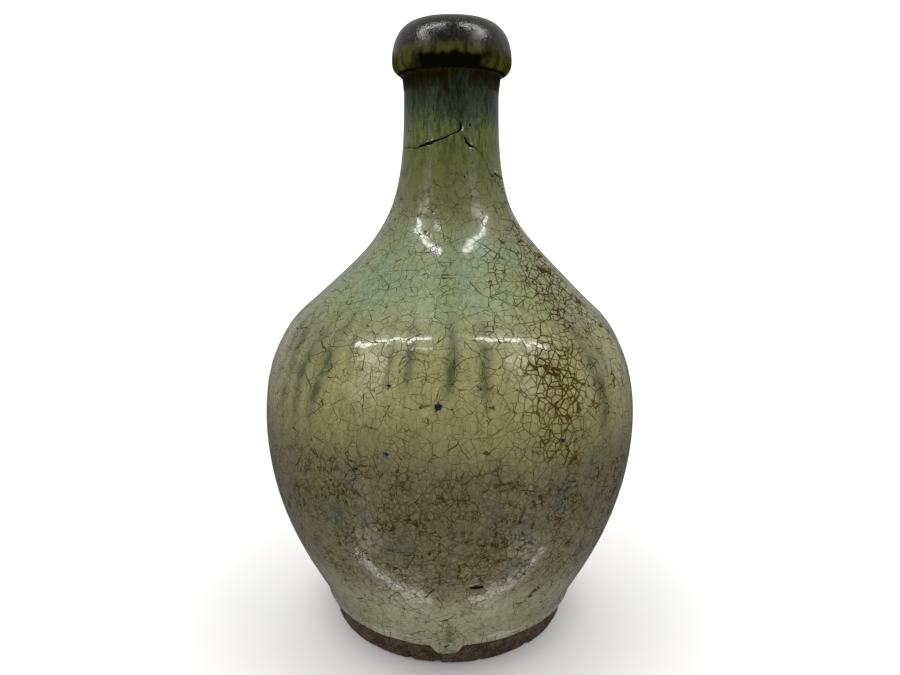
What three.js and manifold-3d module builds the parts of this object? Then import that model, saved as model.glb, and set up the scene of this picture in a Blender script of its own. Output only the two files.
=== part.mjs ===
// A tall-necked stoneware sake bottle (tokkuri), thrown in sections and glazed in three coats.
// Millimetres, +Z up, origin at the centre of the foot's underside. Every piece is a surface of
// revolution about Z, except for one run of glaze that hangs over the foot at the front (-Y).
import * as THREE from "three";
import { mergeVertices } from "three/addons/utils/BufferGeometryUtils.js";
import Module from "manifold-3d";

// ---------------------------------------------------------------- driving dimensions
const HEIGHT = 250;
const SEGMENTS = 32; // facets round every turned piece
const GAP = 0.3; // clearance between neighbouring pieces
const GLAZE = 0.6; // thickness of one coat of glaze
const BODY_WALL = 5.2; // clay wall of the body
const NECK_WALL = 4; // clay wall at the waist of the neck
const FLOOR_TOP = 15.5; // clay floor inside the bottle
const FLOOR_BOTTOM = 8.5; // underside of the floor, the roof of the foot recess
const FLOOR_RADIUS = 38; // rim of the separate floor disc

const FOOT = { outer: 52.6, top: 53.2, inner: 43, height: FLOOR_BOTTOM - GAP, chamfer: 1.2 };

// Stations of the outer surface of the body glaze. lean is the angle off vertical, and each
// handle is the length of the curve's tangent arm at that station.
const HIP = { r: 55.8, z: 10.6, lean: 0.05, above: 6.3 };
const BELLY = { r: 79.5, z: 89.5, below: 42.9, above: 35.9 };
const SHOULDER = { r: 57.9, z: 139.7, lean: -0.81, below: 6.1, above: 45.2 };
const WAIST = { r: 18.3, z: 228, below: 54.9 };

// The lip is a rolled bead whose outside leans in towards the mouth.
const LIP = { foot: 20.6, base: 230.8, r: 24.1, z: 235.2, above: 12.2, brow: 17, crest: 15.3 };
const BORE = WAIST.r - GLAZE - GAP - NECK_WALL - GAP - GLAZE; // bore between the glazed walls
const MOUTH_ROUND = 4; // height of the rounding from the crest into the bore

// Places along the outline curves, as shares of each curve.
const FILLET_END = 0.2; // where the floor fillet meets the wall, on the lower curve
const COAT_START = 0.8; // lower edge of the green coat, on the belly curve
const NECK_SEAM = 0.62; // the seam between body and neck, on the shoulder curve
const THROAT_END = 0.905; // where lip glaze and lining meet, on the shoulder curve

const FLARE = 1.4; // the neck widens by this much just below the lip
const DRIP = { halfWidth: 6.7, depth: 1.7, halfHeight: 5.4, z: 11 };

// Depths below the outer surface of the body glaze.
const CLAY = GLAZE + GAP;
const INSIDE = CLAY + BODY_WALL;
const COAT_BACK = -GAP;
const COAT_FACE = -GAP - GLAZE;

// ---------------------------------------------------------------- outline curves
const at = (r, z) => new THREE.Vector2(r, z);

// A point reached from a station along its lean.
function arm(station, length) {
  const lean = station.lean || 0;
  return at(station.r + Math.sin(lean) * length, station.z + Math.cos(lean) * length);
}

function between(low, high) {
  return new THREE.CubicBezierCurve(
    at(low.r, low.z),
    arm(low, low.above),
    arm(high, -high.below),
    at(high.r, high.z),
  );
}

const lowerCurve = between(HIP, BELLY);
const bellyCurve = between(BELLY, SHOULDER);
const shoulderCurve = between(SHOULDER, WAIST);

const lipUnderside = new THREE.CubicBezierCurve(
  at(LIP.foot, LIP.base),
  at(LIP.foot + 2.4, LIP.base),
  at(LIP.r, LIP.base + 1.6),
  at(LIP.r, LIP.z),
);
const lipSide = new THREE.CubicBezierCurve(
  at(LIP.r, LIP.z),
  at(LIP.r, LIP.z + LIP.above),
  at(LIP.brow, HEIGHT),
  at(LIP.crest, HEIGHT),
);
const mouthRound = new THREE.CubicBezierCurve(
  at(LIP.crest, HEIGHT),
  at(LIP.crest - 1.6, HEIGHT),
  at(BORE, HEIGHT - 1.6),
  at(BORE, HEIGHT - MOUTH_ROUND),
);
const throat = shoulderCurve.getPoint(THROAT_END).y + GAP;
const throatLine = new THREE.LineCurve(at(BORE, HEIGHT - MOUTH_ROUND), at(BORE, throat));

// Points along a curve, each moved square to it: a positive depth goes into the wall.
function stretch(curve, from, to, steps, depth) {
  const points = [];
  for (let i = 0; i <= steps; i++) {
    const t = from + ((to - from) * i) / steps;
    const place = curve.getPoint(t);
    const tangent = curve.getTangent(t);
    const inset = typeof depth === "function" ? depth(t) : depth;
    points.push(at(place.x - inset * tangent.y, place.y + inset * tangent.x));
  }
  return points;
}

// Several stretches as one run of points, without doubled joints.
function chain(...stretches) {
  const points = stretches.flat();
  return points.filter((p, i) => i === 0 || p.distanceTo(points[i - 1]) > 0.02);
}

// The share of a curve that covers a small distance at t.
function shareOf(curve, t, distance) {
  const small = 0.001;
  const span = curve.getPoint(t - small).distanceTo(curve.getPoint(t + small));
  return (distance * 2 * small) / span;
}

// ---------------------------------------------------------------- layers
// Every layer takes its points at the same places along the curves, so that the facets nest.

function lowerRun(depth) {
  return stretch(lowerCurve, 0, 1, 5, depth);
}

function bellyRun(depth) {
  return stretch(bellyCurve, 0, 1, 4, depth);
}

function shoulderRun(depth) {
  return stretch(shoulderCurve, 0, NECK_SEAM, 4, depth);
}

function neckRun(depth) {
  return stretch(shoulderCurve, NECK_SEAM, 1, 4, depth);
}

// The clay thins evenly from the shoulder to the waist of the neck.
const shoulderInside = (t) => CLAY + BODY_WALL + (NECK_WALL - BODY_WALL) * t;

const filletTop = stretch(lowerCurve, FILLET_END, FILLET_END, 1, INSIDE)[0];
const filletLean = lowerCurve.getTangent(FILLET_END);
const floorFillet = new THREE.CubicBezierCurve(
  at(FLOOR_RADIUS, FLOOR_TOP),
  at(FLOOR_RADIUS + 5, FLOOR_TOP),
  at(filletTop.x - 6 * filletLean.x, filletTop.y - 6 * filletLean.y),
  filletTop,
);

// ---------------------------------------------------------------- solids
function turned(profile) {
  return new THREE.LatheGeometry(profile, SEGMENTS).rotateX(Math.PI / 2);
}

function turnedRing(loop) {
  return turned([...loop, loop[0]]);
}

// A skin between two runs of points, the outer one listed upwards.
function skin(outer, inner) {
  return turnedRing([...outer, ...inner.reverse()]);
}

const wasm = await Module();
wasm.setup();

function solidOf(geometry) {
  const bare = geometry.clone();
  bare.deleteAttribute("normal");
  bare.deleteAttribute("uv");
  const merged = mergeVertices(bare, 1e-3);
  return new wasm.Manifold(
    new wasm.Mesh({
      numProp: 3,
      vertProperties: merged.attributes.position.array,
      triVerts: new Uint32Array(merged.index.array),
    }),
  );
}

function geometryOf(solid) {
  const mesh = solid.getMesh();
  const geometry = new THREE.BufferGeometry();
  geometry.setAttribute("position", new THREE.BufferAttribute(mesh.vertProperties, 3));
  geometry.setIndex(new THREE.BufferAttribute(mesh.triVerts, 1));
  geometry.computeVertexNormals();
  return geometry;
}

// ---------------------------------------------------------------- materials
function finish(colour, roughness, metalness = 0) {
  return new THREE.MeshStandardMaterial({ color: colour, roughness, metalness });
}

const bareClay = finish(0x4a3a2c, 0.95);
const bodyClay = finish(0x8a7658, 0.9);
const ashGlaze = finish(0x87835c, 0.25);
const greenGlaze = finish(0x5f6b42, 0.2);
const ironGlaze = finish(0x2a2b1e, 0.3, 0.1);
const liningGlaze = finish(0x6d6a4c, 0.35);

// ---------------------------------------------------------------- clay pieces

// The trimmed ring that the bottle stands on, with its outer edge a little chamfered.
function footRing() {
  return turnedRing([
    at(FOOT.inner + FOOT.chamfer, 0),
    at(FOOT.outer - FOOT.chamfer / 2, 0),
    at(FOOT.outer, FOOT.chamfer / 2),
    at(FOOT.top, FOOT.height),
    at(FOOT.inner, FOOT.height),
    at(FOOT.inner, FOOT.chamfer),
  ]);
}

// The middle of the floor, seated on a bevel inside the lower wall.
function baseDisc() {
  const rim = FLOOR_RADIUS - GAP;
  return turned([
    at(0, FLOOR_BOTTOM),
    at(rim - 2, FLOOR_BOTTOM),
    at(rim, FLOOR_TOP),
    at(0, FLOOR_TOP),
  ]);
}

// The lower half of the body, from its flange on the foot ring to the seam at the belly.
function lowerBodyWall() {
  const seam = 1 - shareOf(lowerCurve, 0.99, GAP / 2);
  return turnedRing([
    at(FLOOR_RADIUS - 2, FLOOR_BOTTOM),
    at(FOOT.top, FLOOR_BOTTOM),
    ...stretch(lowerCurve, 0, seam, 5, CLAY),
    ...stretch(lowerCurve, seam, FILLET_END, 4, INSIDE),
    ...stretch(floorFillet, 1, 0, 3, 0).slice(1),
  ]);
}

// The upper half of the body, from the belly seam up to the neck seam.
function upperBodyWall() {
  const low = shareOf(bellyCurve, 0.01, GAP / 2);
  const high = NECK_SEAM - shareOf(shoulderCurve, NECK_SEAM, GAP / 2);
  const run = (bellyDepth, shoulderDepth) =>
    chain(
      stretch(bellyCurve, low, 1, 4, bellyDepth),
      stretch(shoulderCurve, 0, high, 4, shoulderDepth),
    );
  return skin(run(CLAY, CLAY), run(INSIDE, shoulderInside));
}

// The neck, drawn up from the shoulder and flared where the lip is rolled over it.
function neckTube() {
  const low = NECK_SEAM + shareOf(shoulderCurve, NECK_SEAM, GAP / 2);
  const top = LIP.base - GAP;
  return skin(
    [...stretch(shoulderCurve, low, 1, 4, CLAY), at(WAIST.r - CLAY + FLARE, top)],
    [...stretch(shoulderCurve, low, 1, 4, shoulderInside), at(BORE + CLAY, top)],
  );
}

// The rolled bead of clay round the mouth.
function lipCollar() {
  const bore = BORE + CLAY;
  return turnedRing([
    at(bore, LIP.base),
    at(LIP.foot - CLAY, LIP.base),
    ...chain(
      stretch(lipUnderside, 0, 1, 3, CLAY),
      stretch(lipSide, 0, 1, 5, CLAY),
      stretch(mouthRound, 0, 1, 3, CLAY),
    ),
  ]);
}

// ---------------------------------------------------------------- glaze coats

function ashSkin() {
  const run = (depth) =>
    chain(lowerRun(depth), bellyRun(depth), shoulderRun(depth), neckRun(depth));
  return skin(run(0), run(GLAZE));
}

// One run of ash glaze that hangs down over the foot, cut to the shape of the clay behind it.
function glazeDrip() {
  const bead = new THREE.SphereGeometry(1, 20, 12);
  bead.scale(DRIP.halfWidth, DRIP.depth, DRIP.halfHeight);
  bead.translate(0, GLAZE + GAP - HIP.r, DRIP.z);
  const behind = turned([
    at(0, 0),
    at(FOOT.top + GAP, 0),
    at(FOOT.top + GAP, FLOOR_BOTTOM - GAP / 2),
    ...stretch(lowerCurve, 0, 0.2, 2, GLAZE),
    at(0, lowerCurve.getPoint(0.2).y),
  ]);
  return solidOf(bead).subtract(solidOf(behind));
}

// The pale ash coat that covers the body and neck down to just above the foot.
function bodyGlaze() {
  return geometryOf(solidOf(ashSkin()).add(glazeDrip()));
}

// The green coat poured over the neck and shoulder, on top of the ash coat.
function shoulderGlaze() {
  const run = (depth) => [
    ...chain(
      stretch(bellyCurve, COAT_START, 1, 1, depth),
      shoulderRun(depth),
      neckRun(depth),
    ),
    at(WAIST.r - depth + FLARE, LIP.base - GAP),
  ];
  return skin(run(COAT_FACE), run(COAT_BACK));
}

// The dark iron coat on the lip, which turns in over the mouth and down the throat.
function lipGlaze() {
  const run = (depth) =>
    chain(
      stretch(lipUnderside, 0, 1, 3, depth),
      stretch(lipSide, 0, 1, 5, depth),
      stretch(mouthRound, 0, 1, 3, depth),
      stretch(throatLine, 0, 1, 1, depth),
    );
  return skin(run(0), run(GLAZE));
}

// The lining that makes the inside hold liquid, from the floor up to the lip glaze.
function interiorGlaze() {
  const run = (depth) => [
    at(0, FLOOR_TOP + depth),
    ...chain(
      stretch(floorFillet, 0, 1, 3, depth),
      stretch(lowerCurve, FILLET_END, 1, 4, INSIDE + depth),
      bellyRun(INSIDE + depth),
      shoulderRun((t) => shoulderInside(t) + depth),
      stretch(shoulderCurve, NECK_SEAM, THROAT_END, 3, (t) => shoulderInside(t) + depth),
    ),
  ];
  return turned([...run(GAP), ...run(GAP + GLAZE).reverse()]);
}

// ---------------------------------------------------------------- the bottle
const pieces = [
  ["foot_ring", footRing(), bareClay],
  ["base_disc", baseDisc(), bareClay],
  ["lower_body_wall", lowerBodyWall(), bodyClay],
  ["upper_body_wall", upperBodyWall(), bodyClay],
  ["neck_tube", neckTube(), bodyClay],
  ["lip_collar", lipCollar(), bodyClay],
  ["body_glaze", bodyGlaze(), ashGlaze],
  ["shoulder_glaze", shoulderGlaze(), greenGlaze],
  ["lip_glaze", lipGlaze(), ironGlaze],
  ["interior_glaze", interiorGlaze(), liningGlaze],
];

const bottle = new THREE.Group();
for (const [name, geometry, material] of pieces) {
  const mesh = new THREE.Mesh(geometry, material);
  mesh.name = name;
  bottle.add(mesh);
}

export default bottle;
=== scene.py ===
"""The looks of a glazed stoneware sake bottle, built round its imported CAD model.

Lengths are in millimetres until a mesh is made, azimuth 0 is the front (-Y) and grows to the
right (+X), and heights are above the surface that the bottle stands on.
"""
import math

import bpy
import numpy as np
from mathutils import Matrix, Vector


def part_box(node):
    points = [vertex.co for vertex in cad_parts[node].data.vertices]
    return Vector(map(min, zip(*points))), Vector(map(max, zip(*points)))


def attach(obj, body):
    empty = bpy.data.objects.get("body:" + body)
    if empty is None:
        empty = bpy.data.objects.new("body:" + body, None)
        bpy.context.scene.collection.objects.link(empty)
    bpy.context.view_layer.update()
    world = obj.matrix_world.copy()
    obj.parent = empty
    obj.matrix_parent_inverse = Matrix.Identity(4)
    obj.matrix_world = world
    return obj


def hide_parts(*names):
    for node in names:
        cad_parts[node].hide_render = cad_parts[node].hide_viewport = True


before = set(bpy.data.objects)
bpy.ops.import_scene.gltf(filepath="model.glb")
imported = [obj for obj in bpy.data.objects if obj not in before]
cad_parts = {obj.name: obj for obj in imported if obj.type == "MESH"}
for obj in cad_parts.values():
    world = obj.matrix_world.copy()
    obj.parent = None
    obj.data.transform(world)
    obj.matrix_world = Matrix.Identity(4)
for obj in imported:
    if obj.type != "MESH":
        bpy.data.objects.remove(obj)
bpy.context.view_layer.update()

MM = 0.001

# -------------- sizes from the frame


def top_of(node):
    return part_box(node)[1].z / MM


def base_of(node):
    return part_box(node)[0].z / MM


def radius_of(node):
    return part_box(node)[1].x / MM


HEIGHT = top_of("lip_glaze")
LIP_BASE = base_of("lip_collar")
LIP_RADIUS = radius_of("lip_glaze")
THROAT = base_of("lip_glaze")
BELLY_RADIUS = radius_of("body_glaze")
BELLY_HEIGHT = top_of("lower_body_wall")
FOOT_TOP_RADIUS = radius_of("foot_ring")
FOOT_HEIGHT = top_of("foot_ring")

GAP = 0.3  # between the CAD's clay and glaze
GLAZE = 0.6
COAT = GAP + GLAZE  # how far the green coat stands out from the ash coat
CLAY_FACE = 0.8  # depth of the clay's outside under the glazed surface
CLAY_BACK = 6.1  # and of its inside
FOOT_RADIUS = FOOT_TOP_RADIUS - 0.6
FOOT_INNER = FOOT_TOP_RADIUS - 10.2
HIP = {"r": FOOT_TOP_RADIUS + 2.6, "z": FOOT_HEIGHT + 2.4, "lean": 0.05, "above": 6.3}
BELLY = {"r": BELLY_RADIUS, "z": BELLY_HEIGHT, "lean": 0.0, "below": 42.9, "above": 35.9}
SHOULDER = {"r": 57.9, "z": BELLY_HEIGHT + 50.2, "lean": -0.81, "below": 6.1, "above": 45.2}
WAIST = {"r": 18.3, "z": LIP_BASE - 2.8, "lean": 0.0, "below": 54.9}
FLARE = 2.0
BORE = 12.5
CREST = 15.3

# -------------- repeatable noise


def lattice(ix, iy, iz, seed):
    """A fixed number from 0 to 1 for each corner of a grid."""
    n = ix * 374761393 + iy * 668265263 + iz * 1440662683 + seed * 974711
    n = (n ^ (n >> 13)) * 1274126177
    n = n ^ (n >> 16)
    return (n & 0xFFFFFF) / float(0xFFFFFF)


def noise(points, size, seed=0):
    """Smooth value noise from -1 to 1, with features about size millimetres across."""
    p = points / size
    cell = np.floor(p).astype(np.int64)
    f = p - cell
    f = f * f * f * (f * (f * 6 - 15) + 10)
    total = 0.0
    for dx in (0, 1):
        for dy in (0, 1):
            for dz in (0, 1):
                weight = (
                    (f[..., 0] if dx else 1 - f[..., 0])
                    * (f[..., 1] if dy else 1 - f[..., 1])
                    * (f[..., 2] if dz else 1 - f[..., 2])
                )
                corner = lattice(cell[..., 0] + dx, cell[..., 1] + dy, cell[..., 2] + dz, seed)
                total = total + weight * corner
    return total * 2 - 1


def rough_noise(points, size, seed=0):
    """Three noises added up, each half as wide and as strong as the one before."""
    total = 0.0
    for k in range(3):
        total = total + noise(points, size / 2**k, seed + 17 * k) / 2**k
    return total


def smooth(value, low, high):
    """A smooth step from 0 at low to 1 at high."""
    t = np.clip((value - low) / (high - low), 0, 1)
    return t * t * (3 - 2 * t)


def bump(value, centre, width):
    """A soft hill that is 1 at its centre."""
    return np.exp(-(((value - centre) / width) ** 2))


def turn(azimuth, centre):
    """Signed angle in degrees from centre, with no jump behind the bottle."""
    return (np.degrees(azimuth) - centre + 180) % 360 - 180


# -------------- outline


def bezier(a, b, c, d, count=300):
    t = np.linspace(0, 1, count)[:, None]
    a, b, c, d = (np.array(p, float) for p in (a, b, c, d))
    return (1 - t) ** 3 * a + 3 * (1 - t) ** 2 * t * b + 3 * (1 - t) * t * t * c + t**3 * d


def arm(station, length):
    """The handle of a curve through a station, a length above it or, if negative, below."""
    lean = station["lean"]
    return station["r"] + math.sin(lean) * length, station["z"] + math.cos(lean) * length


def between(low, high):
    ends = (low["r"], low["z"]), (high["r"], high["z"])
    return bezier(ends[0], arm(low, low["above"]), arm(high, -high["below"]), ends[1])


class Outline:
    """A run of (radius, height) points that always climbs, with its slope and length."""

    def __init__(self, *runs):
        points = np.vstack(runs)
        keep = np.concatenate([[True], np.diff(points[:, 1]) > 1e-4])
        self.r, self.z = points[keep].T
        step = np.hypot(np.gradient(self.r), np.gradient(self.z))
        self.lean_r = np.gradient(self.r) / step
        self.lean_z = np.gradient(self.z) / step
        self.s = np.concatenate([[0], np.cumsum(np.hypot(np.diff(self.r), np.diff(self.z)))])

    def radius(self, z):
        return np.interp(z, self.z, self.r)

    def outward(self, z):
        """The outward normal's parts along the radius and along +Z."""
        return np.interp(z, self.z, self.lean_z), -np.interp(z, self.z, self.lean_r)

    def heights(self, low, high, step):
        """Heights from low to high that lie step apart along the surface."""
        ends = np.interp([low, high], self.z, self.s)
        count = max(2, int(round((ends[1] - ends[0]) / step)) + 1)
        return np.interp(np.linspace(ends[0], ends[1], count), self.s, self.z)


WALL = Outline(
    [(HIP["r"] - 2.4, 2.0), (HIP["r"] - 1.2, 7.0)],
    between(HIP, BELLY),
    between(BELLY, SHOULDER),
    between(SHOULDER, WAIST),
    bezier(
        (WAIST["r"], WAIST["z"]),
        (WAIST["r"], WAIST["z"] + 1.2),
        (WAIST["r"] + 0.5, LIP_BASE - 0.9),
        (WAIST["r"] + FLARE, LIP_BASE + 0.2),
        40,
    ),
)

# -------------- features of the glaze

# Runs of green glaze below the shoulder: azimuth, lowest height, half width in degrees, strength.
RUNS = [
    (-55, 102, 2.8, 1.0),
    (-50.5, 113, 1.4, 0.8),
    (-46, 102, 2.4, 1.0),
    (-42, 115, 1.2, 0.7),
    (-38.5, 103, 2.2, 1.0),
    (-29, 120, 1.6, 0.6),
    (-18.6, 118, 1.5, 0.5),
    (-12.5, 118, 1.7, 0.9),
    (-0.5, 115, 1.8, 1.0),
    (10.5, 112, 1.8, 0.9),
    (23, 127, 1.2, 0.7),
    (36, 122, 1.4, 0.5),
    (45.5, 98, 2.8, 1.0),
    (51, 112, 1.6, 0.7),
    (70, 104, 3.0, 0.9),
    (84, 116, 2.2, 0.8),
    (101, 99, 2.8, 1.0),
    (118, 110, 2.0, 0.8),
    (133, 103, 3.4, 0.9),
    (152, 118, 1.8, 0.8),
    (169, 107, 2.4, 1.0),
    (-62, 110, 2.6, 0.9),
    (-79, 100, 2.8, 1.0),
    (-96, 117, 2.0, 0.8),
    (-112, 106, 3.2, 0.9),
    (-131, 114, 2.2, 0.8),
    (-149, 100, 2.6, 1.0),
    (-167, 112, 2.2, 0.8),
]

# Brown-stained areas of crackle: azimuth, height, half sizes in degrees and mm, strength.
STAINS = [
    (33, 146, 11, 14, 0.7),
    (31, 122, 11, 22, 1.0),
    (57, 150, 14, 20, 1.0),
    (44, 146, 10, 16, 1.0),
    (-27, 88, 16, 9, 0.7),
    (-12, 76, 12, 8, 0.7),
    (54, 72, 9, 14, 0.8),
    (10, 57, 20, 10, 0.75),
    (8, 82, 20, 9, 0.35),
    (98, 132, 12, 24, 0.8),
    (134, 92, 16, 18, 0.8),
    (172, 126, 14, 20, 0.9),
    (-150, 78, 18, 14, 0.8),
    (-118, 128, 10, 22, 0.8),
    (-84, 84, 14, 14, 0.7),
    (110, 58, 20, 10, 0.7),
]

# Pinholes through the glaze: azimuth, height, radius in mm.
PITS = [
    (-3.0, 115.0, 1.9),
    (-16.2, 120.5, 1.2),
    (7.8, 120.8, 1.0),
    (-15.5, 98.5, 1.2),
    (-24.2, 91.8, 1.3),
    (21.0, 98.5, 0.6),
    (29.8, 100.8, 1.1),
    (29.5, 85.2, 0.6),
    (5.2, 94.5, 0.5),
    (-5.8, 92.0, 0.5),
    (-11.2, 26.5, 0.8),
    (-7.5, 25.2, 0.5),
    (72, 117, 1.1),
    (126, 109, 1.2),
    (-98, 112, 1.2),
    (-160, 96, 1.0),
    (160, 84, 0.9),
    (-75, 96, 1.0),
    (21.8, 209.8, 0.7),
    (-58.2, 208.2, 0.5),
    (-38.5, 212.2, 0.4),
    (23.2, 195.5, 0.5),
    (17.0, 191.8, 0.6),
    (13.8, 190.2, 0.6),
    (0.0, 191.2, 0.6),
    (-3.5, 182.8, 0.5),
    (-15.2, 176.8, 0.6),
    (-18.8, 169.2, 0.6),
    (-15.2, 167.8, 0.6),
]

# The crack in the neck, as two runs of (azimuth, height, gap in mm).
CRACKS = [
    [
        (-67, 202.0, 0.2),
        (-42, 201.5, 0.28),
        (-34, 202.1, 0.8),
        (-22, 203.3, 1.15),
        (-12, 204.4, 0.45),
        (0, 206.0, 0.28),
        (7, 207.0, 0.4),
        (11, 208.4, 0.9),
        (11, 211.0, 0.14),
        (9, 214.5, 0.1),
    ],
    [
        (15, 205.2, 0.3),
        (18, 203.2, 0.7),
        (23, 202.0, 1.0),
        (27, 201.4, 0.28),
        (35, 199.6, 0.2),
        (41, 196.4, 0.24),
        (44, 193.0, 0.22),
        (50, 190.4, 0.4),
        (57, 192.0, 1.2),
        (64, 190.6, 0.6),
        (78, 190.0, 0.25),
    ],
]

# Chips out of the foot's lower edge: azimuth, half width in degrees, depth in mm.
CHIPS = [
    (-17, 1.0, 0.9),
    (-4.5, 1.2, 1.0),
    (14, 0.8, 0.7),
    (38, 1.4, 0.8),
    (95, 1.5, 1.0),
    (160, 1.2, 0.9),
    (-70, 1.3, 0.8),
    (-125, 1.5, 1.0),
]

SCAR = {"azimuth": 8.0, "height": 45.6, "half_width": 3.5, "half_height": 1.15}
PATCH = {"half_width": 4.025, "half_height": 2.4, "below": 1.2}
DRIP = {"azimuth": -0.6, "half_width": 6.3, "length": 4.5}
RING_PITCH = 7.0  # height from one throwing ring to the next
ASH_EDGE = HIP["z"]
ASH_TOP = 136.0
ASH_WAVES_REACH = 14.0
GREEN_EDGE = 124.0
GREEN_SHOWS = 140.0
GREEN_WAVES_REACH = 22.0
THIN = 0.035  # the green coat at its lower edge


def green_runs(azimuth, z, place):
    """How much green glaze has run down over the ash glaze, from 0 to 1."""
    total = np.zeros_like(z)
    for centre, end, half_width, strength in RUNS:
        wander = centre + 1.2 * np.sin(z / 9.0 + centre)
        width = half_width * (0.75 + 0.5 * smooth(z, end, end + 25))
        across = bump(turn(azimuth, wander), 0, width)
        along = smooth(z, end - 2, end + 9) * (1 - smooth(z, 130, 148))
        total = np.maximum(total, across * along * strength)
    return np.clip(total * (0.85 + 0.3 * rough_noise(place, 5, 31)), 0, 1)


def stains(azimuth, z, place):
    """How brown the crackle is stained, from 0 to 1."""
    total = np.zeros_like(z)
    for centre, height, half_turn, half_height, strength in STAINS:
        spot = bump(turn(azimuth, centre), 0, half_turn) * bump(z, height, half_height)
        total = np.maximum(total, spot * strength)
    return np.clip(total * 1.25 + 0.45 * rough_noise(place, 14, 47) * (total > 0.02), 0, 1)


def pits(azimuth, z, place):
    """How deep the pinholes are, from 0 to 1."""
    depth = np.zeros_like(z)
    r = np.hypot(place[..., 0], place[..., 1])
    ragged = 1 + 0.45 * noise(place, 0.9, 53)
    for centre, height, radius in PITS:
        distance = np.hypot(np.radians(turn(azimuth, centre)) * r, z - height) * ragged
        depth = np.maximum(depth, 1 - smooth(distance, 0.35 * radius, radius))
    return depth


def cracks(azimuth, z, place):
    """The crack in the neck: 1 in its gap, and 1 in the chips beside its wide parts."""
    gap = np.zeros_like(z)
    chips = np.zeros_like(z)
    r = np.hypot(place[..., 0], place[..., 1])
    jag = 0.28 * noise(place, 1.3, 61) + 0.15 * noise(place, 0.6, 67)
    for run in CRACKS:
        for (a0, z0, w0), (a1, z1, w1) in zip(run, run[1:]):
            middle = (a0 + a1) / 2
            x = np.radians(turn(azimuth, middle)) * r
            x0, x1 = np.radians(a0 - middle) * r, np.radians(a1 - middle) * r
            dx, dz = x1 - x0, z1 - z0
            t = np.clip(((x - x0) * dx + (z - z0) * dz) / (dx * dx + dz * dz), 0, 1)
            d = np.hypot(x - x0 - t * dx, z + jag - z0 - t * dz)
            half = (w0 + t * (w1 - w0)) / 2
            faint = smooth(half, 0.05, 0.2)
            gap = np.maximum(gap, (0.3 + 0.7 * faint) * (1 - smooth(d, half * 0.75, half + 0.2)))
            wide = smooth(half, 0.28, 0.5)
            chips = np.maximum(chips, wide * (1 - smooth(d, half + 0.1, half + 1.1)))
    chips = chips * (noise(place, 0.9, 71) > 0.05) * (1 - gap)
    return gap, chips


def scar(azimuth, z, place):
    """The kiln scar low on the front: 1 in its dark slot, and 1 in the flaked patch round it."""
    r = np.hypot(place[..., 0], place[..., 1])
    x = np.radians(turn(azimuth, SCAR["azimuth"])) * r
    y = z - SCAR["height"] - 0.25 * noise(place, 1.4, 73) - 0.1 * np.sin(x)
    slot = 1 - smooth(np.hypot(x / SCAR["half_width"], y / SCAR["half_height"]), 0.65, 1.0)
    below = (y + PATCH["below"]) / PATCH["half_height"]
    patch = 1 - smooth(np.hypot(x / PATCH["half_width"], below), 0.6, 1.0)
    return slot, patch


def relief(azimuth, z, place):
    """How far the glazed surface stands out from the plain outline, in mm."""
    spiral = z + RING_PITCH * azimuth / (2 * math.pi) + 1.2 * noise(place, 45, 5)
    rings = 0.014 * np.sin(2 * math.pi * spiral / RING_PITCH) * (0.4 + 0.6 * smooth(z, 60, 150))
    rings = rings * (0.55 + 0.45 * noise(place, 30, 3))
    hand = 0.42 * noise(place, 60, 7) + 0.07 * noise(place, 19, 11) + 0.014 * noise(place, 7, 13)
    side = 0.55 * np.sin(azimuth) * bump(z, 158, 14)
    skin = 0.004 * noise(place, 2.4, 19) + 0.15 * bump(z, 171, 12) * noise(place, 7, 41)
    low = 1 - smooth(z, 40, 75)
    skin = skin + low * (0.014 * noise(place, 2.0, 29) + 0.008 * noise(place, 1.1, 37))
    calm = smooth(z, 8, 24) * (1 - 0.6 * smooth(z, 170, 220))
    thick = 0.22 * green_runs(azimuth, z, place)
    return rings + hand * calm + side + skin + thick


# -------------- meshes


def azimuths(count, denser):
    """Azimuths round the bottle, closer together at the front."""
    u = np.linspace(-math.pi, math.pi, count, endpoint=False)
    return u - denser * np.sin(u)


def polar(azimuth, radius, z):
    """Points at an azimuth, distance from the axis and height."""
    return np.stack([radius * np.sin(azimuth), -radius * np.cos(azimuth), z], axis=-1)


def wall_place(azimuth, z, offset=0.0):
    """Points on the wall's outline, moved out square to it by offset."""
    out_r, out_z = WALL.outward(z)
    return polar(azimuth, WALL.radius(z) + offset * out_r, z + offset * out_z)


def link(name, data):
    """A new object in the scene that holds the given data."""
    made = bpy.data.objects.new(name, data)
    bpy.context.scene.collection.objects.link(made)
    return made


def mark_sharp(mesh, count_u, sharp_rows):
    """Marks the edges that run along the given rows of a grid as sharp."""
    ends = np.zeros(len(mesh.edges) * 2, np.int32)
    mesh.edges.foreach_get("vertices", ends)
    ring = ends.reshape(-1, 2) // count_u
    sharp = (ring[:, 0] == ring[:, 1]) & np.isin(ring[:, 0], sharp_rows)
    marks = mesh.attributes.new("sharp_edge", "BOOLEAN", "EDGE")
    marks.data.foreach_set("value", sharp)


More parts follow.
